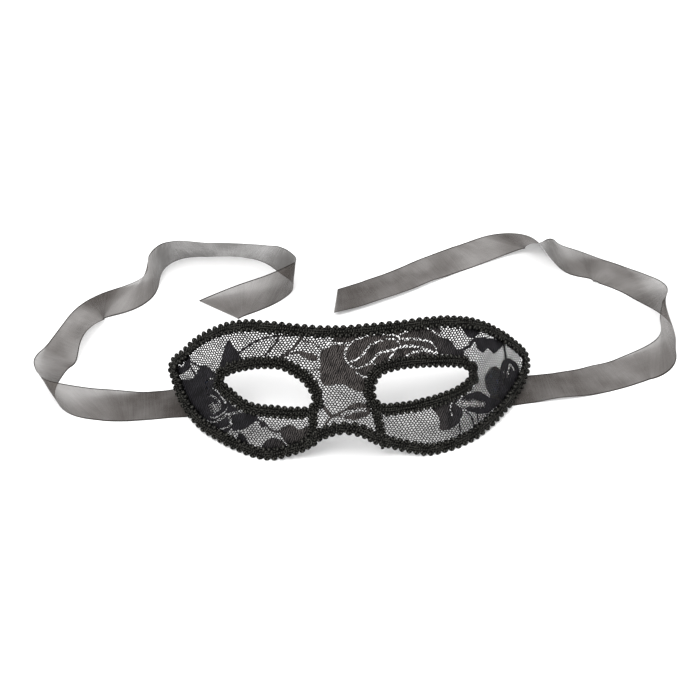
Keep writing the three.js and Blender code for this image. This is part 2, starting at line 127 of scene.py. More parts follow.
# Each ribbon's folds: share of its length, heading, lean out of the table and slew, in degrees.
# Each ribbon also gives how strongly painted shade darkens its cloth toward its cut end.
RIBBONS = {
    "left": {
        "root": (-0.82, -0.057),
        "length": 319.6,
        "end_shade": 0.15,
        "folds": [
            (0, 160, 41, 17), (0.031, 181, 6, 0), (0.063, 188, 1, 0), (0.104, 185, 3, -2),
            (0.162, 190, 31, 32), (0.206, 170, 73, 47), (0.235, 124, 105, 16),
            (0.265, 89, 109, -27), (0.299, 90, 139, -25), (0.338, 73, 173, 3),
            (0.386, 70, 201, 26), (0.445, 57, 188, 4), (0.489, 24, 180, 43),
            (0.523, 24, 161, 51), (0.552, 47, 131, 36), (0.591, 76, 97, 16),
            (0.649, 7, 70, -23), (0.717, -2, 64, 2), (0.771, -14, 68, 29),
            (0.805, -42, 88, 21), (0.839, -48, 93, 5), (0.873, -132, 89, -25),
            (0.932, -167, 41, -37), (1, -162, 0, 43),
        ],
    },
    "right": {
        "root": (0.82, -0.057),
        "length": 326.2,
        "end_shade": 0.75,
        "folds": [
            (0, 27, 139, 20), (0.031, 14, 174, 0), (0.061, 8, 180, 0), (0.094, 9, 185, -3),
            (0.162, 17, 178, -10), (0.221, 25, 177, -7), (0.264, 32, 163, 43),
            (0.298, 82, 124, 34), (0.328, 78, 121, 30), (0.357, 106, 103, -4),
            (0.386, 122, 82, -30), (0.415, 115, 50, -36), (0.464, 132, 11, -26),
            (0.513, 160, -2, 0), (0.557, 190, 44, 32), (0.591, 132, 101, 18),
            (0.615, 120, 116, -25), (0.640, 131, 138, -34), (0.664, 164, 159, -22),
            (0.698, 199, 171, -44), (0.776, 207, 180, -1), (0.854, 212, 175, -2),
            (0.932, 206, 174, -2), (1, 202, 172, 28),
        ],
    },
}
RIBBON_STEPS = 100

# The lace's flowers, in millimetres across and up the mask. Petals and leaves are outlines,
# stems are lines of a width, and openings are lines of net left bare between petals.
PETALS = {
    "temple_rose": [
        (-84, 4), (-75, 5), (-70, 11.5), (-64, 7.5), (-60, 6), (-59, -4), (-55.5, -9),
        (-52, -12), (-57, -19), (-62, -24), (-68, -22), (-76, -14), (-82, -5),
    ],
    "temple_bud": [(-85, 14), (-80, 15), (-77, 16), (-76.5, 12), (-78, 9), (-83, 7.5)],
    "pointed_leaf": [
        (-57.3, 23), (-56.5, 22), (-53.5, 18.5), (-51.3, 14), (-53, 8), (-60, 4), (-64, 5),
        (-61.5, 11), (-59.4, 18), (-58, 22),
    ],
    "brow_leaf": [(-24, 16.8), (-19, 15.8), (-15, 14), (-15.5, 11.8), (-20, 12.8)],
    "great_rose": [
        (-13, 16.4), (-8, 18.9), (-6, 25.4), (12, 29.4), (30, 30.4), (44, 29.4), (44, 22.4),
        (50, 12.4), (40, 8.4), (20, 6.4), (10, 3.4), (8.5, -2.6), (4, -3.1), (-0.5, -1), (-4, 0.8),
        (-12.8, 0.8), (-13.8, 9.4),
    ],
    "brow_bud": [
        (40, 20.4), (46, 20.9), (49.5, 18.9), (51.5, 15.9), (55, 14.4), (55, 10.4), (49, 11.4),
        (43, 14.4),
    ],
    "brow_berry": [(55.5, 28.4), (64, 25.4), (63, 21.9), (59.7, 20.6), (56.5, 22.7)],
    "twin_leaf": [
        (61.5, 20.4), (66, 20.4), (70, 19.7), (78, 18.9), (75, 15.6), (71, 12.8), (68, 15.2),
        (65, 13.4), (62.5, 15.9),
    ],
    "temple_leaf": [
        (75.5, 9), (80, 9.5), (84, 6), (83.5, 0), (79, -6), (76, -10), (72.5, -8), (73.2, -3),
        (74, 3),
    ],
    "cheek_leaf": [
        (53, -9.1), (57, -6.2), (62, -5.4), (68, -8.6), (73, -10.6), (69, -14.1), (65, -15.9),
        (59.5, -15.2), (54, -12.6),
    ],
    "cheek_bell": [
        (38, -10.6), (42, -9.1), (48, -7.6), (53, -10.1), (53.5, -14.6), (52, -19.1),
        (48.5, -21.8), (42.5, -22.9), (42.3, -17.6), (40, -14.1),
    ],
    "nose_leaf": [
        (-7.5, -13.8), (-3.5, -11.4), (0, -9.2), (3, -8.4), (9, -9.6), (9, -13.6),
        (5.6, -15.3), (1.8, -16.2), (-3.8, -15.2),
    ],
    "low_petal_a": [(-57, -14.6), (-48, -11.5), (-44, -14), (-50, -19), (-56, -20)],
    "low_petal_b": [(-54, -21), (-50.3, -23), (-49.5, -30), (-56, -29)],
    "low_petal_c": [(-43, -31), (-41, -25.6), (-37, -24), (-33, -25.4), (-30, -31)],
    "low_petal_d": [
        (-33.4, -20), (-28.2, -18), (-24.5, -20.3), (-19.5, -18.6), (-20, -25), (-27.6, -27.8),
        (-31.1, -26.6),
    ],
    "stem_bead": [(-43.3, -16.8), (-41, -16), (-39.6, -18), (-42.2, -18.6)],
}
STEMS = {
    "brow_stem": (0.75, [(-52, 17), (-44.5, 21.7), (-38.7, 23.6), (-31, 24.3), (-22, 24)]),
    "brow_twig": (0.9, [(-32.5, 24), (-35, 20.2), (-40, 15)]),
    "brow_branch": (1.3, [(-21, 25), (-25.9, 18.7), (-33, 13.4)]),
    "brow_curl": (0.8, [(-33, 13.2), (-28.2, 15.5), (-23, 16.2)]),
    "brow_vein": (0.55, [(-21.8, 21.6), (-16, 20), (-12.2, 16)]),
    "brow_thread": (0.5, [(-22, 4), (-18, 7.5), (-13.5, 7.8)]),
    "nose_stem": (1.6, [(-14, -9), (-11.5, -11.5), (-9.3, -14.5)]),
    "nose_curl": (0.9, [(0.5, -10.4), (-6.6, -13.2), (-10.7, -16), (-15, -23)]),
    "low_stem": (1.0, [(-45.7, -14.5), (-41, -17.1), (-37.5, -20.5), (-32.5, -21)]),
    "berry_stem": (1.3, [(54.5, 14.9), (58.4, 16.9), (59.7, 18.8), (62.2, 20)]),
    "temple_stem": (0.9, [(76.7, 16.9), (77.3, 8), (74.5, 2.4)]),
    "temple_twig_a": (0.7, [(-77, 13.6), (-74.5, 12.3), (-71.5, 10.6), (-69, 9)]),
    "temple_twig_b": (0.7, [(-76.6, 11.6), (-75.3, 9), (-73.5, 6.5)]),
    "cheek_vein_a": (0.5, [(51.8, -18.6), (52.4, -27.6)]),
    "cheek_vein_b": (0.6, [(54.6, -14.2), (57.8, -16.8), (59, -21.3), (59, -26.6)]),
    "cheek_vein_c": (0.45, [(61, -15.6), (61.8, -24.1)]),
    "cheek_vein_d": (0.45, [(66, -15.1), (66, -20.6)]),
}
OPENINGS = {
    "temple_a": (1.2, [(-68.7, 2.9), (-67.2, 4.3), (-65.2, 4.9)]),
    "temple_b": (1.1, [(-68.4, 0), (-66.1, 0.5), (-63.8, -0.8), (-61.4, -3.8), (-59.4, -6.8)]),
    "temple_c": (1.0, [
        (-67.8, -3.3), (-66.1, -3.4), (-63.8, -4.6), (-62, -6.8), (-62, -9.1), (-63.8, -10.8),
    ]),
    "temple_heart": (2.8, [(-66.1, -8.4), (-64.9, -7.9), (-63.8, -9.7), (-65.5, -10.5)]),
    "temple_ring": (0.9, [
        (-58.8, -9.2), (-59.7, -11), (-62, -12.7), (-64.9, -13.8), (-66.7, -13.7),
    ]),
    "temple_d": (1.2, [
        (-70.7, -14.2), (-67.8, -15.7), (-64.9, -15.8), (-62, -14.7), (-59.1, -12.5), (-56.2, -12),
        (-52.7, -11.2),
    ]),
    "temple_e": (1.2, [
        (-66.1, -19.1), (-63.2, -19.7), (-59.7, -18.7), (-57.3, -17.5), (-57, -15.8),
        (-57.9, -12.8),
    ]),
    "temple_f": (1.1, [(-58.2, -24.6), (-55.6, -24.1), (-53.8, -21.2), (-53.3, -20)]),
    "bud": (0.9, [(-82, 12), (-80.5, 10.8), (-79.5, 13.2)]),
    "rose_a": (0.8, [
        (24.5, 22), (18.2, 23.6), (9.4, 23.2), (1.2, 19.9), (-1.9, 15.6), (-1, 10.5),
        (3.1, 8.1), (8.7, 9.5), (12.2, 12),
    ]),
    "rose_b": (0.7, [
        (-0.5, 10.8), (3.5, 12), (7.5, 15.3), (10, 18.4), (16.3, 20.8), (20.7, 21.3),
        (24, 19.4),
    ]),
    "rose_c": (0.8, [(25, 23.4), (30.8, 25.7), (37, 26.2), (40.8, 24.1), (44.5, 21.6)]),
    "rose_d": (0.9, [(24, 20.8), (30.8, 20.9), (37, 19.8), (40.8, 18.1), (42, 13.8)]),
    "rose_e": (1.0, [
        (10.6, 10.4), (14.4, 14.4), (20.1, 15.9), (25.1, 17.3), (30.8, 17.4), (35.8, 16.3),
        (40.8, 13.8),
    ]),
    "rose_f": (0.9, [
        (26.6, 12.4), (30.8, 14.6), (37, 14.7), (42.1, 13.3), (47.7, 12.5), (51, 11.4),
    ]),
    "rose_g": (0.7, [(18.6, 9.4), (19.4, 12.4), (22.6, 15.5)]),
    "rose_h": (0.7, [(11, 11), (12.4, 8.4), (14, 7.4)]),
    "rose_i": (0.8, [(3.4, 6), (6.2, 3.9), (11, 3.4)]),
    "rose_j": (1.0, [(-9, 20), (-4, 19.7), (0, 19.6)]),
    "bell": (0.8, [(48.6, -9.6), (47.6, -12.6), (48.4, -16)]),
    "cheek": (3.2, [(52.5, -10.9), (56, -10.7), (60, -11), (63.5, -11.7)]),
    "nose": (1.9, [(-4, -13.5), (0.6, -12.1), (6.5, -11.7)]),
    "brow_gap": (0.8, [(64, 24.4), (67, 22), (72, 20.8), (75, 20)]),
    "temple_gap": (1.6, [(77.6, 1), (78.4, 4), (79.8, 6.6), (81.6, 4.4)]),
    "temple_arc": (0.9, [(74.8, -2.5), (75.8, 1), (76, 4)]),
}


# The curved face


def smooth_share(share):
    t = np.clip(share, 0, 1)
    return t * t * (3 - 2 * t)


def face_height(x, y):
    side = np.abs(x) / HALF_WIDTH
    rise = y / HALF_HEIGHT
    wing = WING_DEPTH * side**3 * (1 + TEMPLE_GAIN * rise)
    along = smooth_share((NOSE_TOP - rise) / (NOSE_TOP - NOSE_FOOT))
    ridge = NOSE_DEPTH * np.exp(-(((x - NOSE_SHIFT) / NOSE_WIDTH) ** 2)) * along
    return ridge - wing - BROW_CROWN * rise**2


def face_normal(x, y):
    step = 0.01
    slope_x = (face_height(x + step, y) - face_height(x - step, y)) / (2 * step)
    slope_y = (face_height(x, y + step) - face_height(x, y - step)) / (2 * step)
    n = np.stack([-slope_x, -slope_y, np.ones_like(slope_x)], -1)
    return n / np.linalg.norm(n, axis=-1, keepdims=True)


def on_face(x, y, above=0.0):
    """Points on the face, or above it along its normal."""
    p = np.stack([x, y, face_height(x, y)], -1)
    return p + face_normal(x, y) * np.asarray(above)[..., None]


def to_table(p):
    """From the mask's frame to the table's, in millimetres."""
    cos, sin = math.cos(LEAN), math.sin(LEAN)
    y = p[..., 1] * cos - p[..., 2] * sin
    z = p[..., 1] * sin + p[..., 2] * cos + MASK_LIFT
    x = p[..., 0]
    turned_x = x * math.cos(YAW) - y * math.sin(YAW)
    turned_y = x * math.sin(YAW) + y * math.cos(YAW)
    return np.stack([turned_x, turned_y, z], -1)


def to_row(p):
    """From the table's millimetres to the row frame's metres, with nothing below the table."""
    q = p + ROW_SHIFT
    q[..., 2] = np.maximum(q[..., 2], TABLE_GAP)
    return q * METRES


# Lines


def smooth_line(rows, closed, steps=12):
    """A centripetal curve through the rows, as the solids' outlines have."""
    p = np.asarray(rows, float)
    count = len(p)
    if not closed:
        p = np.vstack([2 * p[0] - p[1], p, 2 * p[-1] - p[-2]])
    out = []
    for i in range(count if closed else count - 1):
        if closed:
            a, b, c, d = p[i - 1], p[i], p[(i + 1) % count], p[(i + 2) % count]
        else:
            a, b, c, d = p[i], p[i + 1], p[i + 2], p[i + 3]
        gaps = [max(np.linalg.norm(v - u) ** 0.5, 1e-4) for u, v in ((a, b), (b, c), (c, d))]
        t1 = (b - a) / gaps[0] - (c - a) / (gaps[0] + gaps[1]) + (c - b) / gaps[1]
        t2 = (c - b) / gaps[1] - (d - b) / (gaps[1] + gaps[2]) + (d - c) / gaps[2]
        t1, t2 = t1 * gaps[1], t2 * gaps[1]
        t = np.arange(steps)[:, None] / steps
        square = 3 * c - 3 * b - 2 * t1 - t2
        cube = 2 * b - 2 * c + t1 + t2
        out.append(b + t1 * t + square * t**2 + cube * t**3)
    line = np.vstack(out)
    return line if closed else np.vstack([line, p[-2]])


def shares_to_mm(rows, centre=(0, 0), half=(HALF_WIDTH, HALF_HEIGHT)):
    return [(centre[0] + a * half[0], centre[1] + b * half[1]) for a, b in rows]


def eye_outline(eye):
    centre = (eye["centre"][0] * HALF_WIDTH, eye["centre"][1] * HALF_HEIGHT)
    half = (eye["size"][0] / 2, eye["size"][1] / 2)
    return smooth_line(shares_to_mm(eye["shape"], centre, half), True)


TRACK_STEP = 0.6
TRACK_LEAST = 20
TRACK_REACH = 6
TRACK_NUDGE = 0.01


class Track:
    """A line drawn on the face, measured along it, with the direction to its right."""

    def __init__(self, line, closed):
        self.closed = closed
        ends = np.vstack([line, line[:1]]) if closed else line
        places = on_face(ends[:, 0], ends[:, 1])
        steps = np.linalg.norm(np.diff(places, axis=0), axis=1)
        self.marks = np.concatenate([[0], np.cumsum(steps)])
        self.length = self.marks[-1]
        count = max(int(self.length / TRACK_STEP), TRACK_LEAST)
        s = np.linspace(0, self.length, count + 1)
        self.s = s
        self.flat = np.stack([np.interp(s, self.marks, ends[:, k]) for k in (0, 1)], -1)
        if closed:
            core = self.flat[:-1]
            run = np.roll(core, -TRACK_REACH, 0) - np.roll(core, TRACK_REACH, 0)
            run = np.vstack([run, run[:1]])
        else:
            low = np.clip(np.arange(count + 1) - TRACK_REACH, 0, count)
            high = np.clip(np.arange(count + 1) + TRACK_REACH, 0, count)
            run = self.flat[high] - self.flat[low]
        x, y = self.flat[:, 0], self.flat[:, 1]
        ahead = on_face(x + run[:, 0] * TRACK_NUDGE, y + run[:, 1] * TRACK_NUDGE)
        right = np.cross(ahead - on_face(x, y), face_normal(x, y))
        self.right = right / np.linalg.norm(right, axis=1, keepdims=True)

    def place(self, s, across, above):
        """Points at distances along, across to the right, and above the face."""
        s = np.mod(s, self.length) if self.closed else np.clip(s, 0, self.length)
        flat = [np.interp(s, self.s, self.flat[:, k]) for k in (0, 1)]
        right = np.stack([np.interp(s, self.s, self.right[:, k]) for k in range(3)], -1)
        beside = on_face(flat[0], flat[1]) + right * np.asarray(across)[..., None]
        return on_face(beside[..., 0], beside[..., 1], above)


def distance_to(line, points, closed):
    """How far each point is from a line, and whether it is inside it."""
    ends = np.vstack([line, line[:1]]) if closed else line
    best = np.full(len(points), 1e9)
    inside = np.zeros(len(points), bool)
    x, y = points[:, 0], points[:, 1]
    for a, b in zip(ends[:-1], ends[1:]):
        e = b - a
        size = max(float(e @ e), 1e-9)
        t = np.clip(((x - a[0]) * e[0] + (y - a[1]) * e[1]) / size, 0, 1)
        best = np.minimum(best, (x - a[0] - t * e[0]) ** 2 + (y - a[1] - t * e[1]) ** 2)
        if closed and a[1] != b[1]:
            crosses = (a[1] > y) != (b[1] > y)
            inside ^= crosses & (x < e[0] * (y - a[1]) / e[1] + a[0])
    return np.sqrt(best), inside


def depth_inside(line, points):
    """Positive inside a closed line and negative outside it."""
    far, inside = distance_to(line, points, True)
    return np.where(inside, far, -far)


# Meshes


def add_mesh(name, vertices, faces, material, uvs=None, smooth=True):
    """A mesh object. uvs gives two numbers for each vertex."""
    mesh = bpy.data.meshes.new(name)
    mesh.from_pydata([tuple(v) for v in vertices.tolist()], [], [tuple(f) for f in faces])
    if uvs is not None:
        layer = mesh.uv_layers.new(name="UVMap")
        corners = np.empty(len(mesh.loops), np.int32)
        mesh.loops.foreach_get("vertex_index", corners)
        layer.data.foreach_set("uv", np.asarray(uvs, np.float32)[corners].ravel())
    mesh.polygons.foreach_set("use_smooth", [smooth] * len(mesh.polygons))
    mesh.materials.append(material)
    mesh.validate()
    obj = bpy.data.objects.new(name, mesh)
    bpy.context.scene.collection.objects.link(obj)
    return obj


def grid_faces(rows, columns, closed_rows=False, closed_columns=False, first=0):
    faces = []
    for i in range(rows if closed_rows else rows - 1):
        for j in range(columns if closed_columns else columns - 1):
            a = first + i * columns + j
            b = first + i * columns + (j + 1) % columns
            c = first + ((i + 1) % rows) * columns + (j + 1) % columns
            d = first + ((i + 1) % rows) * columns + j
            faces.append((a, b, c, d))
    return faces


class Build:
    """Gathers the tubes and strips that make up one piece."""

    def __init__(self):
        self.vertices = []
        self.faces = []
        self.uvs = []
        self.count = 0

    def add(self, vertices, faces, uvs):
        self.vertices.append(vertices)
        self.faces.extend(faces)
        self.uvs.append(uvs)
        self.count += len(vertices)

    def tube(self, line, up, radius, sides, closed):
        """A round cord along a line. radius is one number, or one for each ring."""
        if closed:
            run = np.roll(line, -1, 0) - np.roll(line, 1, 0)
        else:
            run = np.gradient(line, axis=0)
        run /= np.maximum(np.linalg.norm(run, axis=1, keepdims=True), 1e-9)
        side = np.cross(run, up)
        side /= np.maximum(np.linalg.norm(side, axis=1, keepdims=True), 1e-9)
        top = np.cross(side, run)
        radius = np.broadcast_to(np.asarray(radius, float), (len(line),))
        turn = np.arange(sides) / sides * 2 * math.pi
        cos, sin = np.cos(turn)[None, :, None], np.sin(turn)[None, :, None]
        ring = side[:, None] * cos + top[:, None] * sin
        points = line[:, None] + ring * radius[:, None, None]
        length = np.concatenate([[0], np.cumsum(np.linalg.norm(np.diff(line, axis=0), axis=1))])
        uv = np.stack(np.broadcast_arrays(length[:, None], (turn / (2 * math.pi))[None]), -1)
        first = self.count
        faces = grid_faces(len(line), sides, closed, True, first)
        if not closed:
            faces.append(tuple(first + k for k in range(sides)))
            last = first + (len(line) - 1) * sides
            faces.append(tuple(last + k for k in reversed(range(sides))))
        self.add(points.reshape(-1, 3), faces, uv.reshape(-1, 2))

    def done(self, name, material):
        vertices = to_row(to_table(np.vstack(self.vertices)))
        return add_mesh(name, vertices, self.faces, material, np.vstack(self.uvs))


# Materials. A colour mix node has its colours at these sockets.

MIX_FACTOR = 0
MIX_LOW = 6
MIX_HIGH = 7
MIX_RESULT = 2


class Nodes:
    """A short way to build one material's nodes."""

    def __init__(self, name):
        self.material = bpy.data.materials.new(name)
        self.material.use_nodes = True
        self.tree = self.material.node_tree
        self.shader = self.tree.nodes["Principled BSDF"]

    def add(self, kind, links=None, **values):
        node = self.tree.nodes.new(kind)
        for key, value in values.items():
            if key in node.inputs:
                node.inputs[key].default_value = value
            else:
                setattr(node, key, value)
        for key, source in (links or {}).items():
            self.tree.links.new(source, node.inputs[key])
        return node

    def math(self, operation, *terms):
        node = self.tree.nodes.new("ShaderNodeMath")
        node.operation = operation
        for k, value in enumerate(terms):
            if isinstance(value, (int, float)):
                node.inputs[k].default_value = value
            else:
                self.tree.links.new(value, node.inputs[k])
        return node.outputs[0]

    def ramp(self, factor, low, high, start=0.0, end=1.0):
        node = self.add("ShaderNodeValToRGB", {"Fac": factor})
        node.color_ramp.elements[0].position = start
        node.color_ramp.elements[0].color = (*low, 1)
        node.color_ramp.elements[1].position = end
        node.color_ramp.elements[1].color = (*high, 1)
        return node.outputs["Color"]

    def coords(self, kind):
        return self.add("ShaderNodeTexCoord").outputs[kind]

    def attribute(self, title):
        return self.add("ShaderNodeAttribute", attribute_name=title).outputs["Fac"]

    def noise(self, vector, **values):
        return self.add("ShaderNodeTexNoise", {"Vector": vector}, **values).outputs["Fac"]

    def mix(self, factor, low, high):
        """A blend of two colours. high is a socket or a colour that is the same all over."""
        node = self.tree.nodes.new("ShaderNodeMix")
        node.data_type = "RGBA"
        self.tree.links.new(factor, node.inputs[MIX_FACTOR])
        self.tree.links.new(low, node.inputs[MIX_LOW])
        if isinstance(high, tuple):
            node.inputs[MIX_HIGH].default_value = high
        else:
            self.tree.links.new(high, node.inputs[MIX_HIGH])
        return node.outputs[MIX_RESULT]

    def bump(self, height, strength, distance):
        node = self.add("ShaderNodeBump", {"Height": height}, Strength=strength, Distance=distance)
        self.tree.links.new(node.outputs["Normal"], self.shader.inputs["Normal"])

    def set(self, links=None, **values):
        for key, value in values.items():
            self.shader.inputs[key.replace("_", " ")].default_value = value
        for key, source in (links or {}).items():
            self.tree.links.new(source, self.shader.inputs[key])


def cord_material():
    """Black rayon cord: fine yarns wound round it, with a low sheen and a painted highlight on the
    yarns along its outward side.
    """
    n = Nodes("black_cord")
    uv = n.coords("UV")
    split = n.add("ShaderNodeSeparateXYZ", {"Vector": uv})
    turn = n.math("MULTIPLY", split.outputs["Y"], 2 * math.pi)
    wound = n.math("ADD", n.math("MULTIPLY", split.outputs["X"], 5.2), turn)
    # ridge is the cord's side facing out from the mask: the yarns there are painted lighter, a
    # painted highlight.
    ridge = n.math("ADD", n.math("MULTIPLY", n.math("SINE", turn), 0.6), 0.4)
    yarn = n.math("SINE", wound)
    place = n.coords("Object")
    fuzz = n.noise(place, Scale=900.0, Detail=3.0)
    yarn_glints = n.math("MULTIPLY", n.math("ADD", yarn, 1.0), fuzz)
    painted_highlight = n.math("MULTIPLY", yarn_glints, n.math("MAXIMUM", ridge, 0.0))
    colour = n.ramp(painted_highlight, (0.0005, 0.0005, 0.0004), (0.052, 0.051, 0.045), 0.36, 1.0)
    rough = n.ramp(fuzz, (0.30, 0.30, 0.30), (0.55, 0.55, 0.55), 0.3, 0.8)
    n.bump(yarn, 0.8, 0.00025)
    n.set({"Base Color": colour, "Roughness": rough}, Specular_IOR_Level=0.08)
    return n.material


def lace_material():
    """Woven flowers: brown-black at the middle, blue-black at the temples, with a fine hatch."""
    n = Nodes("lace_flower")
    place = n.coords("Object")
    split = n.add("ShaderNodeSeparateXYZ", {"Vector": place})
    side = n.math("ABSOLUTE", split.outputs["X"])
    warm = n.ramp(side, (1, 1, 1), (0, 0, 0), 0.025, 0.05)
    uv = n.coords("UV")
    slanted = n.add("ShaderNodeMapping", {"Vector": uv}, Rotation=(0, 0, math.radians(22)))
    ribs = n.add(
        "ShaderNodeTexWave", {"Vector": slanted.outputs[0]}, Scale=0.34, Distortion=6.0, Detail=3.0
    )
    ribs.inputs["Detail Scale"].default_value = 1.6
    flecks = n.noise(uv, Scale=1.3, Detail=5.0, Roughness=0.7)
    petals = n.noise(uv, Scale=0.22, Detail=2.0)
    patches = n.math("MULTIPLY", petals, 2.0)
    hatch = n.math("MULTIPLY", n.math("MULTIPLY", ribs.outputs["Fac"], flecks), patches)
    cool = n.ramp(hatch, (0.0012, 0.0011, 0.0015), (0.0205, 0.0192, 0.0232), 0.15, 0.55)
    brown = n.ramp(hatch, (0.0015, 0.0013, 0.0012), (0.080, 0.071, 0.067), 0.17, 0.5)
    n.bump(hatch, 0.55, 0.0002)
    n.set({"Base Color": n.mix(warm, cool, brown)}, Roughness=0.7, Specular_IOR_Level=0.12)
    return n.material


def net_material():
    """The lace's ground: very thin stiffened thread."""
    n = Nodes("lace_net")
    place = n.coords("Object")
    fuzz = n.noise(place, Scale=700.0, Detail=2.0)
    colour = n.ramp(fuzz, (0.004, 0.0038, 0.0038), (0.03, 0.028, 0.027), 0.3, 0.75)
    n.bump(fuzz, 0.4, 0.0001)
    n.set({"Base Color": colour}, Roughness=0.6, Specular_IOR_Level=0.2)
    return n.material


def ribbon_material():
    """Sheer organza: fine threads both ways, cloudy, with dense woven edges, and painted shade that
    darkens it and makes it more opaque in its twisting creases, near the glue, toward a cut end and
    where it stands on edge.
    """
    n = Nodes("sheer_ribbon")
    uv = n.coords("UV")
    split = n.add("ShaderNodeSeparateXYZ", {"Vector": uv})
    along, across = split.outputs["X"], split.outputs["Y"]
    warp = n.math("SINE", n.math("MULTIPLY", across, 420.0))
    weft = n.math("SINE", n.math("MULTIPLY", along, 420.0))
    weave = n.math("MULTIPLY", n.math("ADD", warp, weft), 0.25)
    cloud = n.noise(uv, Scale=0.9, Detail=4.0, Roughness=0.5)
    long_way, wide_way = n.math("MULTIPLY", along, 16.0), n.math("MULTIPLY", across, 0.9)
    stretched = n.add("ShaderNodeCombineXYZ", {"X": long_way, "Y": wide_way})
    streak = n.noise(stretched.outputs[0], Scale=1.6, Detail=3.0)
    middle = n.math("ABSOLUTE", n.math("SUBTRACT", across, 0.5))
    edge = n.math("GREATER_THAN", middle, 0.467)
    # Painted shade, carried from the mesh: in twisting creases, near the glue, toward a cut end and
    # where the ribbon stands on edge.
    painted_crease_shade = n.attribute("painted_crease_shade")
    shade = n.math("ADD", n.math("MULTIPLY", cloud, 0.82), n.math("MULTIPLY", streak, 0.18))
    cloth = n.ramp(shade, (0.066, 0.056, 0.050), (0.130, 0.116, 0.108), 0.35, 0.65)
    painted_shade = n.attribute("painted_shade")
    painted_darkening = n.math("MAXIMUM", n.math("MULTIPLY", painted_shade, 0.85), n.math("MULTIPLY", painted_crease_shade, 0.55))
    # The woven edges are really dark; the rest of this darkening is painted shade, which also raises
    # the cover.
    dark = n.math("MAXIMUM", edge, painted_darkening)
    colour = n.mix(dark, cloth, (0.021, 0.017, 0.0145, 1))
    sheer = n.math("ADD", n.math("MULTIPLY", weave, 0.05), n.math("MULTIPLY", shade, -0.5))
    cover = n.math("ADD", n.math("ADD", sheer, 0.92), n.math("MULTIPLY", dark, 0.3))
    n.bump(weave, 0.3, 0.0002)
    n.set({"Base Color": colour, "Alpha": cover}, Roughness=0.7, Specular_IOR_Level=0.12)
    n.set(Sheen_Weight=0.06, Sheen_Roughness=0.35)
    return n.material


def pad_material():
    """Hardened glue, near-black and glossy, with a slightly uneven surface."""
    n = Nodes("hard_glue")
    place = n.coords("Object")
    lumps = n.noise(place, Scale=260.0, Detail=3.0)
    colour = n.ramp(lumps, (0.005, 0.008, 0.018), (0.02, 0.03, 0.06), 0.3, 0.8)
    n.bump(lumps, 0.5, 0.0006)
    body = n.attribute("body")
    smear = n.math("ADD", n.math("MULTIPLY", body, 1.5), n.math("MULTIPLY", lumps, 0.3))
    n.set({"Base Color": colour, "Alpha": smear}, Roughness=0.2, Specular_IOR_Level=0.6)
    n.set(Coat_Weight=0.3, Coat_Roughness=0.1)
    return n.material


def floor_material():
    """A matt, nearly white table top with a very faint grain."""
    n = Nodes("pale_table")
    place = n.coords("Object")
    grain = n.noise(place, Scale=60.0, Detail=2.0)
    colour = n.ramp(grain, (0.94, 0.94, 0.94), (0.965, 0.965, 0.965))
    n.set({"Base Color": colour}, Roughness=0.8, Specular_IOR_Level=0.1)
    return n.material


# The braid: on each side a cord that swings out in round loops, and a plait over the middle

RIM_SWING = 0.3
EYE_SWING = 0.16
SEAM_SWING = 0.22
LOOP_STEPS = 14
LOOP_REACH = 0.74
LOOP_SKEW = 0.12
CORD_SHARE = 0.27
CORD_SWELL = 0.3
CORD_SIDES = 7
CORD_LEVEL = 0.95
CORD_RISE = 0.3
CORD_LAG = 0.9
PLAIT_STEPS = 8
PLAIT_PITCH = 2.3
PLAIT_SWING = 0.27
PLAIT_SHARE = 0.135
PLAIT_SIDES = 5
PLAIT_LEVEL = 1.45
PLAIT_RISE = 0.28
TAPE_STEPS = 4
TAPE_CORNERS = ((-0.7, 0.05), (-0.6, 0.4), (0.6, 0.4), (0.7, 0.05))


def turns_along(turns, steps, closed):
    """How many turns have passed at each step of a track."""
    count = turns * steps
    return np.arange(count if closed else count + 1) / steps


def braid(build, track, width, side, from_edge, swing_share, loop_pitch):
    """Braid along a track. side is 1 where the braid lies to the right of its edge, or else -1."""
    loops = max(2, round(track.length / loop_pitch))
    pitch = track.length / loops
    half = width / 2
    cord = CORD_SHARE * half
    middle = side * (half + from_edge)
    t = turns_along(loops, LOOP_STEPS, track.closed)
    for hand, shift in ((1, 0.0), (-1, 0.5)):
        phase = 2 * math.pi * (t + shift)
        wobble = 0.07 * np.sin(t * 1.7 + hand) + 0.05 * np.sin(t * 0.61)
        along = pitch * t + LOOP_SKEW * np.sin(phase)
        swing = hand * (half * (LOOP_REACH - swing_share * (1 - np.cos(phase))) + wobble)
        above = CLEARANCE + CORD_LEVEL + CORD_RISE * np.cos(phase + hand * CORD_LAG)
        line = track.place(along, middle + swing, above)
        up = face_normal(line[:, 0], line[:, 1])
        build.tube(line, up, cord * (1.0 + CORD_SWELL * np.cos(phase)), CORD_SIDES, track.closed)
    plaits = max(2, round(track.length / PLAIT_PITCH))
    t = turns_along(plaits, PLAIT_STEPS, track.closed)
    for start in (0, math.pi):
        phase = 2 * math.pi * t + start
        above = CLEARANCE + PLAIT_LEVEL + PLAIT_RISE * np.cos(phase * 2)
        across = middle + PLAIT_SWING * half * np.sin(phase)
        line = track.place(track.length / plaits * t, across, above)
        up = face_normal(line[:, 0], line[:, 1])
        build.tube(line, up, PLAIT_SHARE * half, PLAIT_SIDES, track.closed)
    # A woven tape behind the cords closes what they leave open
    t = turns_along(loops, TAPE_STEPS, track.closed)
    rows = [
        track.place(pitch * t, middle + across * half, CLEARANCE + above)
        for across, above in TAPE_CORNERS
    ]
    corners = len(rows)
    around = np.arange(corners) / corners
    uv = np.stack(np.broadcast_arrays((pitch * t)[:, None], around[None]), -1)
    faces = grid_faces(len(t), corners, track.closed, True, build.count)
    build.add(np.stack(rows, 1).reshape(-1, 3), faces, uv.reshape(-1, 2))


# The lace: flowers cut from a field of distances, and a net of threads between them

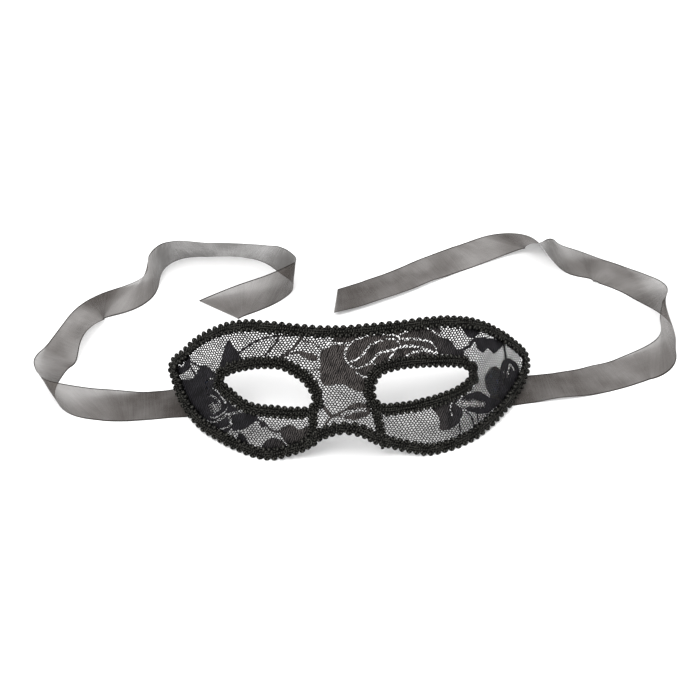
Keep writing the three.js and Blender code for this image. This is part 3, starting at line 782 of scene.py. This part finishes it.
FLOWER_CELL = 0.36
FLOWER_SPAN = (-36, 35)
FLOWER_WEAVE = 0.05
FLOWER_RIPPLE = 0.36
OPENING_SHARE = 1.25
NARROW_OPENING = 1.8
OPENING_THREADS_LOST = 0.25
OPENING_MARGIN = 0.2
NET_CELL = 1.56
NET_ROW = 1.04
NET_LINK = 0.47
NET_WANDER = 0.3
NET_THREAD = 0.33
NET_GAIN = 0.3
NET_FOOT = -37
NET_HEIGHT = 76
NET_SAMPLES = 2001
NET_RUN_HEIGHT = 8.0
NET_FLOWER_MARGIN = 0.5
NET_SEED = 5
THREAD_FLATNESS = 0.45
UNDER_BRAID = 2.6
FLOWER_FRONT = 0.0
FLOWER_BACK = -0.5
NET_LEVEL = -0.28


def lace_room(points, rim, eyes):
    """How far each point is inside the lace, which goes a little way under the braid."""
    room = depth_inside(rim, points) - UNDER_BRAID
    for eye in eyes:
        room = np.minimum(room, -depth_inside(eye, points) - UNDER_BRAID)
    return room


def opening_depth(points, widest=math.inf):
    """Positive inside the lines left open between petals, which have ragged sides."""
    x, y = points[:, 0], points[:, 1]
    ragged = 0.75 + 0.55 * np.sin(6.1 * x + 2.3 * y) + 0.35 * np.sin(4.7 * y - 3.1 * x)
    depth = np.full(len(points), -1e9)
    for width, rows in OPENINGS.values():
        if width <= widest:
            far, _ = distance_to(smooth_line(rows, False, 6), points, False)
            depth = np.maximum(depth, width * OPENING_SHARE / 2 * ragged - far)
    return depth


def flower_field(points):
    """Negative inside the flowers, whose edges ripple a little."""
    field = np.full(len(points), 1e9)
    for rows in PETALS.values():
        field = np.minimum(field, -depth_inside(smooth_line(rows, True, 5), points))
    for width, rows in STEMS.values():
        far, _ = distance_to(smooth_line(rows, False, 6), points, False)
        field = np.minimum(field, far - width / 2)
    field = np.maximum(field, opening_depth(points))
    x, y = points[:, 0], points[:, 1]
    ripple = np.cos(x * 5.3 + np.sin(y * 1.3)) * np.cos(y * 6.1)
    return field + FLOWER_RIPPLE * ripple


def clip_cells(x, y, field):
    """The triangles of a grid where the field is negative, cut straight along its edge."""
    rows, columns = field.shape
    index = np.arange(rows * columns).reshape(rows, columns)
    a, b = index[:-1, :-1].ravel(), index[:-1, 1:].ravel()
    c, d = index[1:, 1:].ravel(), index[1:, :-1].ravel()
    corners = np.vstack([np.stack([a, b, c], 1), np.stack([a, c, d], 1)])
    value = field.ravel()
    points = np.stack([x.ravel(), y.ravel()], -1)
    inside = value[corners] < 0
    count = inside.sum(1)
    triangles = [tuple(t) for t in corners[count == 3].tolist()]
    cuts = {}
    extra = []
    rim_pairs = []

    def cut(p, q):
        key = (min(p, q), max(p, q))
        if key not in cuts:
            share = value[p] / (value[p] - value[q])
            cuts[key] = len(points) + len(extra)
            extra.append(points[p] + (points[q] - points[p]) * share)
        return cuts[key]

    mixed = (count > 0) & (count < 3)
    for tri, flags in zip(corners[mixed].tolist(), inside[mixed].tolist()):
        alone = sum(flags) == 1
        k = flags.index(alone)
        p, q, r = tri[k], tri[(k + 1) % 3], tri[(k + 2) % 3]
        first, second = cut(p, q), cut(p, r)
        if alone:
            triangles.append((p, first, second))
            rim_pairs.append((first, second))
        else:
            triangles.append((first, q, r))
            triangles.append((first, r, second))
            rim_pairs.append((second, first))
    return np.vstack([points, np.array(extra)]), triangles, rim_pairs


def lace_flowers(rim, eyes, material):
    """A thin sheet with a front, a back and walls where the flowers are."""
    across = np.arange(-HALF_WIDTH, HALF_WIDTH, FLOWER_CELL)
    x, y = np.meshgrid(across, np.arange(*FLOWER_SPAN, FLOWER_CELL))
    points = np.stack([x.ravel(), y.ravel()], -1)
    field = np.maximum(flower_field(points), -lace_room(points, rim, eyes))
    flat, triangles, rim_pairs = clip_cells(x, y, field.reshape(x.shape))
    used = np.unique(np.array(triangles))
    renumber = np.full(len(flat), -1)
    renumber[used] = np.arange(len(used))
    flat = flat[used]
    count = len(flat)
    x, y = flat[:, 0], flat[:, 1]
    weave = FLOWER_WEAVE * np.sin(x * 7.0 + 1.5 * np.sin(y * 0.9)) * np.sin(y * 4.4)
    front = on_face(x, y, FLOWER_FRONT + weave)
    back = on_face(x, y, FLOWER_BACK + weave)
    faces = []
    for a, b, c in renumber[np.array(triangles)].tolist():
        faces.append((a, b, c))
        faces.append((count + a, count + c, count + b))
    for a, b in renumber[np.array(rim_pairs)].tolist():
        faces.append((b, a, count + a, count + b))
    uvs = np.vstack([flat, flat])
    vertices = to_row(to_table(np.vstack([front, back])))
    return add_mesh("lace_flowers", vertices, faces, material, uvs, smooth=False)


def lace_net(rim, eyes, material):
    """Flat six-sided cells of thread in staggered rows that wander a little."""
    fine = np.linspace(-HALF_WIDTH, HALF_WIDTH, NET_SAMPLES)
    heights = face_height(fine, np.full_like(fine, NET_RUN_HEIGHT))
    run = np.concatenate([[0], np.cumsum(np.hypot(np.diff(fine), np.diff(heights)))])
    run -= run[len(run) // 2]
    edges = []
    rows = int(NET_HEIGHT / NET_ROW)
    columns = int((run[-1] - run[0]) / NET_CELL) + 1
    for j in range(rows):
        v = NET_FOOT + j * NET_ROW
        shift = 0.5 * NET_CELL * (j % 2)
        u = run[0] + shift + np.arange(columns) * NET_CELL
        low = np.stack([u, np.full_like(u, v - NET_LINK / 2)], -1)
        high = np.stack([u, np.full_like(u, v + NET_LINK / 2)], -1)
        next_link = np.full_like(u, v + NET_ROW - NET_LINK / 2)
        right = np.stack([u + NET_CELL / 2, next_link], -1)
        left = np.stack([u - NET_CELL / 2, next_link], -1)
        edges.extend(np.stack(pair, 1) for pair in ((low, high), (high, right), (high, left)))
    edges = np.vstack(edges)
    edges[..., 0] = np.interp(edges[..., 0], run, fine)
    middle = edges.mean(1)
    keep = np.minimum(flower_field(middle) + NET_FLOWER_MARGIN, lace_room(middle, rim, eyes)) > 0
    lost = np.random.default_rng(NET_SEED).uniform(0, 1, len(middle)) < OPENING_THREADS_LOST
    keep &= ~((opening_depth(middle, NARROW_OPENING) > -OPENING_MARGIN) & lost)
    edges = edges[keep]
    x, y = edges[..., 0], edges[..., 1]
    pull_x = np.sin(0.61 * y + 0.9 * np.sin(0.23 * x)) + 0.5 * np.sin(1.7 * y + 0.8 * x)
    pull_y = np.sin(0.47 * x + 1.3 * np.sin(0.31 * y)) + 0.5 * np.sin(1.5 * x - 0.7 * y)
    ends = on_face(x + NET_WANDER * pull_x, y + NET_WANDER * pull_y, NET_LEVEL)
    along = ends[:, 1] - ends[:, 0]
    along /= np.linalg.norm(along, axis=1, keepdims=True)
    up = face_normal(edges[:, 0, 0], edges[:, 0, 1])
    side = np.cross(along, up)
    radius = NET_THREAD * (1 + NET_GAIN * middle[keep][:, 1:] / HALF_HEIGHT)
    corners = []
    for end in (0, 1):
        for k in range(3):
            turn = math.pi / 2 + k * 2 * math.pi / 3
            spoke = side * math.cos(turn) + up * math.sin(turn) * THREAD_FLATNESS
            corners.append(ends[:, end] + spoke * radius)
    vertices = np.stack(corners, 1).reshape(-1, 3)
    faces = []
    for a in range(0, 6 * len(edges), 6):
        for k, m in ((0, 1), (1, 2), (2, 0)):
            faces.append((a + k, a + m, a + m + 3, a + k + 3))
    return add_mesh("lace_net", to_row(to_table(vertices)), faces, material)


# The ribbons

RIBBON_SEED = 11
RIBBON_SINK = 0.36
RIBBON_FINE = 5
RIBBON_ACROSS = 15
RIBBON_SMOOTH = 9
RIBBON_FLOOR = 0.12
RIPPLE_HEIGHT = 0.10
RIPPLE_WAVES = 6
RIPPLE_START = 30
# Painted shade in the creases comes from how fast the ribbon twists, averaged over a few rows
TWIST_LOW = 0.03
TWIST_SPAN = 0.09
TWIST_WINDOW = 9
# Painted shade on the ribbons: how far it fades from the cut end and from the glue, and how strong
# it is near the glue and where a ribbon stands on edge
END_FADE = 30
ROOT_FADE = 40
ROOT_SHADE = 1.3
STANDING_SHADE = 0.75
# How far in each glued row lies, and its share of the width, where the end is gathered
GATHERS = ((3.6, 0.62), (2.4, 0.72), (1.2, 0.86))
GATHER_LEVEL = 0.9


def between(folds, column, share):
    """A smooth value between rows, as in the solids."""
    at = [row[0] for row in folds]
    value = [row[column] for row in folds]
    last = len(folds) - 1
    i = 0
    while i < last - 1 and at[i + 1] <= share:
        i += 1

    def slope(k):
        low, high = max(k - 1, 0), min(k + 1, last)
        return (value[high] - value[low]) / (at[high] - at[low])

    span = at[i + 1] - at[i]
    t = (share - at[i]) / span
    return (
        (2 * t**3 - 3 * t**2 + 1) * value[i]
        + (t**3 - 2 * t**2 + t) * span * slope(i)
        + (3 * t**2 - 2 * t**3) * value[i + 1]
        + (t**3 - t**2) * span * slope(i + 1)
    )


def leaning_height(tilt):
    """How high the middle line lies when the lower edge touches the table."""
    return RIBBON_WIDTH / 2 * abs(math.sin(tilt)) + RIBBON_THICKNESS / 2 * abs(math.cos(tilt))


def ribbon_lines(ribbon):
    """The ribbon's middle line, and half its width as a direction, at each step of the solids."""
    x, y = ribbon["root"][0] * HALF_WIDTH, ribbon["root"][1] * HALF_HEIGHT
    behind = PAD_BACK + RIBBON_CLEARANCE + RIBBON_THICKNESS / 2
    centre = to_table(on_face(np.array(x), np.array(y), -behind))
    lift = centre[2] - leaning_height(math.radians(ribbon["folds"][0][2]))
    step = ribbon["length"] / RIBBON_STEPS
    centres, widths = [], []
    last = None
    for i in range(RIBBON_STEPS + 1):
        share = i / RIBBON_STEPS
        heading, tilt, slew = [math.radians(between(ribbon["folds"], k, share)) for k in (1, 2, 3)]
        run = np.array([math.cos(heading), math.sin(heading), 0])
        if last is not None:
            centre = centre + (run + last) * step / 2
        last = run
        landing = max(0.0, 1 - i * step / LANDING_RUN)
        sunk = RIBBON_SINK * abs(math.cos(tilt)) * (1 - landing)
        centre = np.array([centre[0], centre[1], leaning_height(tilt) + lift * landing**2 - sunk])
        level = np.array([math.sin(heading), -math.cos(heading), 0])
        across = level * math.cos(tilt) + np.array([0, 0, math.sin(tilt)]) + run * math.tan(slew)
        centres.append(centre)
        widths.append(across * RIBBON_WIDTH / 2)
    return np.array(centres), np.array(widths)


def ribbon_sheet(name, ribbon, material, seed):
    """One curved sheet over the solids' middle line, and the length of its own middle line."""
    centres, widths = ribbon_lines(ribbon)
    sign = math.copysign(1, ribbon["root"][0])
    # The glued end runs on under the pad
    y = ribbon["root"][1] * HALF_HEIGHT
    tail = []
    for inward, _ in GATHERS:
        x = ribbon["root"][0] * HALF_WIDTH - sign * inward
        tail.append(to_table(on_face(np.array(x), np.array(y), -(PAD_BACK + GATHER_LEVEL))))
    centres = np.vstack([tail, centres])
    widths = np.vstack([*(widths[:1] * share for _, share in GATHERS), widths])
    fine = len(centres[:-1]) * RIBBON_FINE
    rows = np.linspace(0, len(centres) - 1, fine + 1)
    base = np.clip(rows.astype(int), 0, len(centres) - 2)
    t = (rows - base)[:, None]

    def spline(v):
        a, b, c, d = [v[np.clip(base + k, 0, len(v) - 1)] for k in (-1, 0, 1, 2)]
        return b + 0.5 * t * (c - a + t * (2 * a - 5 * b + 4 * c - d + t * (3 * (b - c) + d - a)))

    middle, half = spline(centres), spline(widths)
    run = np.gradient(middle, axis=0)
    face = np.cross(run, half)
    face /= np.linalg.norm(face, axis=1, keepdims=True)
    w = np.linspace(-1, 1, RIBBON_ACROSS)
    length = np.concatenate([[0], np.cumsum(np.linalg.norm(np.diff(middle, axis=0), axis=1))])
    rng = np.random.default_rng(seed)
    waves = rng.uniform(0, 2 * math.pi, RIPPLE_WAVES)
    ripple = np.zeros((len(middle), RIBBON_ACROSS))
    for k, phase in enumerate(waves):
        pitch = 9.0 + 7.0 * k
        skew = w[None] * (1.2 + 0.7 * k)
        ripple += RIPPLE_HEIGHT * np.sin(length[:, None] / pitch * 2 * math.pi + phase + skew)
    ripple *= np.clip(length / RIPPLE_START, 0, 1)[:, None]
    points = middle[:, None] + half[:, None] * w[None, :, None] + face[:, None] * ripple[..., None]
    # A soft average along the ribbon takes out the small nicks where its rows crowd together
    window = np.hanning(2 * RIBBON_SMOOTH + 3)[1:-1]
    window /= window.sum()
    padded = np.pad(points, ((RIBBON_SMOOTH, RIBBON_SMOOTH), (0, 0), (0, 0)), mode="edge")
    points = sum(share * padded[k:k + len(points)] for k, share in enumerate(window))
    points[..., 2] = np.maximum(points[..., 2], RIBBON_FLOOR)
    uv = np.stack(np.broadcast_arrays(length[:, None] / RIBBON_WIDTH, (w[None] + 1) / 2), -1)
    faces = grid_faces(len(middle), RIBBON_ACROSS)
    obj = add_mesh(name, to_row(points.reshape(-1, 3)), faces, material, uv.reshape(-1, 2))
    turning = half / np.linalg.norm(half, axis=1, keepdims=True)
    # Painted shade in the creases: darker where the ribbon twists quickly, fading out toward the cut
    # end
    twist = np.linalg.norm(np.gradient(turning, axis=0), axis=1) / np.gradient(length)
    twist = np.convolve(twist, np.ones(TWIST_WINDOW) / TWIST_WINDOW, "same")
    to_end = length[-1] - length
    painted_crease_shade = np.clip((twist - TWIST_LOW) / TWIST_SPAN, 0, 1) * np.clip(to_end / END_FADE, 0, 1)
    # Painted shade: near the glue, toward the cut end and where it stands up, the cloth is coloured
    # darker and made more opaque
    near_glue = ROOT_SHADE * np.exp(-length / ROOT_FADE)
    near_end = ribbon["end_shade"] * np.exp(-to_end / END_FADE)
    standing = STANDING_SHADE * turning[:, 2] ** 2
    painted_shade = np.clip(np.maximum(np.maximum(near_glue, near_end), standing), 0, 1)
    for title, amount in (("painted_crease_shade", painted_crease_shade), ("painted_shade", painted_shade)):
        layer = obj.data.attributes.new(title, "FLOAT", "POINT")
        layer.data.foreach_set("value", np.repeat(amount, RIBBON_ACROSS).astype(np.float32))
    return obj, length[-1]


def glue_pad(name, ribbon, material):
    """A rounded, slightly lumpy pat of glue over the ribbon's end."""
    sign = math.copysign(1, ribbon["root"][0])
    cx = ribbon["root"][0] * HALF_WIDTH - sign * GLUE_WIDTH * GLUE_INWARD
    cy = ribbon["root"][1] * HALF_HEIGHT + PAD_HEIGHT * PAD_RISE
    turn = np.arange(GLUE_AROUND) / GLUE_AROUND * 2 * math.pi
    rim = 1 + 0.10 * np.sin(turn * 2 + 0.6) + 0.05 * np.sin(turn * 5)
    near = -LACE_THICKNESS / 2
    layers = []
    body = []
    for part in range(2 * GLUE_RINGS):
        front = part < GLUE_RINGS
        spread = (part + 0.5 if front else 2 * GLUE_RINGS - part - 0.5) / GLUE_RINGS
        px = cx + np.cos(turn) * spread * rim * GLUE_WIDTH / 2
        py = cy + np.sin(turn) * spread * rim * PAD_HEIGHT / 2
        px = px + sign * GLUE_SLANT * (cy - py)
        dome = math.sqrt(max(0.0, 1 - spread**2))
        depth = near if front else near - GLUE_EDGE - GLUE_DOME * dome
        layers.append(on_face(px, py, depth))
        body.extend([1 - spread**2] * GLUE_AROUND)
    vertices = np.stack(layers).reshape(-1, 3)
    faces = grid_faces(2 * GLUE_RINGS, GLUE_AROUND, False, True)
    faces.append(tuple(range(GLUE_AROUND)))
    faces.append(tuple(reversed(range(len(vertices) - GLUE_AROUND, len(vertices)))))
    obj = add_mesh(name, to_row(to_table(vertices)), faces, material)
    layer = obj.data.attributes.new("body", "FLOAT", "POINT")
    layer.data.foreach_set("value", np.array(body, np.float32))
    return obj


# Putting it together

cord = cord_material()
flower = lace_material()
net = net_material()
organza = ribbon_material()
glue = pad_material()

rim_line = smooth_line(shares_to_mm(RIM), True)
eye_lines = {name: eye_outline(eye) for name, eye in EYES.items()}


def finish_piece(obj, slot, *nodes):
    """Puts a piece on the one body, in place of the solids it stands for. slot is not used."""
    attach(obj, "root")
    if nodes:
        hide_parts(*nodes)
    return obj


finish_piece(lace_flowers(rim_line, eye_lines.values(), flower), "lace", "lace_shell")
finish_piece(lace_net(rim_line, eye_lines.values(), net), "lace")

edging = Build()
braid(edging, Track(rim_line, True), BRAID_WIDTH, 1, 0.0, RIM_SWING, LOOP_PITCH)
finish_piece(edging.done("rim_gimp", cord), "braid", "outer_braid")

for eye_name, eye in EYES.items():
    edging = Build()
    braid(edging, Track(eye_lines[eye_name], True), BRAID_WIDTH, -1, 0.0, EYE_SWING, EYE_LOOP_PITCH)
    finish_piece(edging.done(f"eye_gimp_{eye_name}", cord), "braid", f"eye_braid_{eye_name}")
    edging = Build()
    strip = smooth_line(shares_to_mm([*eye["seam"], eye["seam_foot"]]), False)
    braid(edging, Track(strip, False), SEAM_WIDTH, 1, -SEAM_WIDTH / 2, SEAM_SWING, EYE_LOOP_PITCH)
    finish_piece(edging.done(f"seam_gimp_{eye_name}", cord), "braid", f"seam_braid_{eye_name}")

for number, (side_name, ribbon) in enumerate(RIBBONS.items()):
    sheet, sheet_length = ribbon_sheet(f"organza_{side_name}", ribbon, organza, RIBBON_SEED + number)
    finish_piece(sheet, "ribbon", f"ribbon_{side_name}")
    finish_piece(glue_pad(f"glue_pad_{side_name}", ribbon, glue), "pad", f"ribbon_pad_{side_name}")

# Table, light and camera

bpy.ops.mesh.primitive_grid_add(x_subdivisions=8, y_subdivisions=8, size=6.0)
floor = bpy.context.object
floor.name = "table_top"
floor.data.materials.append(floor_material())

world = bpy.data.worlds.new("studio")
bpy.context.scene.world = world
world.use_nodes = True
world.node_tree.nodes["Background"].inputs["Color"].default_value = (1, 1, 1, 1)
world.node_tree.nodes["Background"].inputs["Strength"].default_value = 1.1


def soft_light(name, place, size, power):
    """A square light turned toward the middle of the table."""
    data = bpy.data.lights.new(name, "AREA")
    data.size = size
    data.energy = power
    lamp = bpy.data.objects.new(name, data)
    lamp.location = place
    direction = -np.array(place) / np.linalg.norm(place)
    lamp.rotation_euler = (
        math.acos(-direction[2]),
        0,
        math.atan2(direction[0], -direction[1]) + math.pi,
    )
    bpy.context.scene.collection.objects.link(lamp)


soft_light("key", (-0.5, -0.4, 1.1), 0.7, 9.0)
soft_light("fill", (0.8, 0.3, 1.0), 0.9, 5.0)

camera_data = bpy.data.cameras.new("camera")
camera_data.lens = LENS
camera_data.sensor_width = SENSOR
camera_data.clip_start = 0.01
camera = bpy.data.objects.new("camera", camera_data)
camera.location = CAMERA_PLACE
camera.rotation_euler = (CAMERA_TILT, 0, 0)
bpy.context.scene.collection.objects.link(camera)
bpy.context.scene.camera = camera
bpy.context.scene.view_settings.view_transform = "Standard"
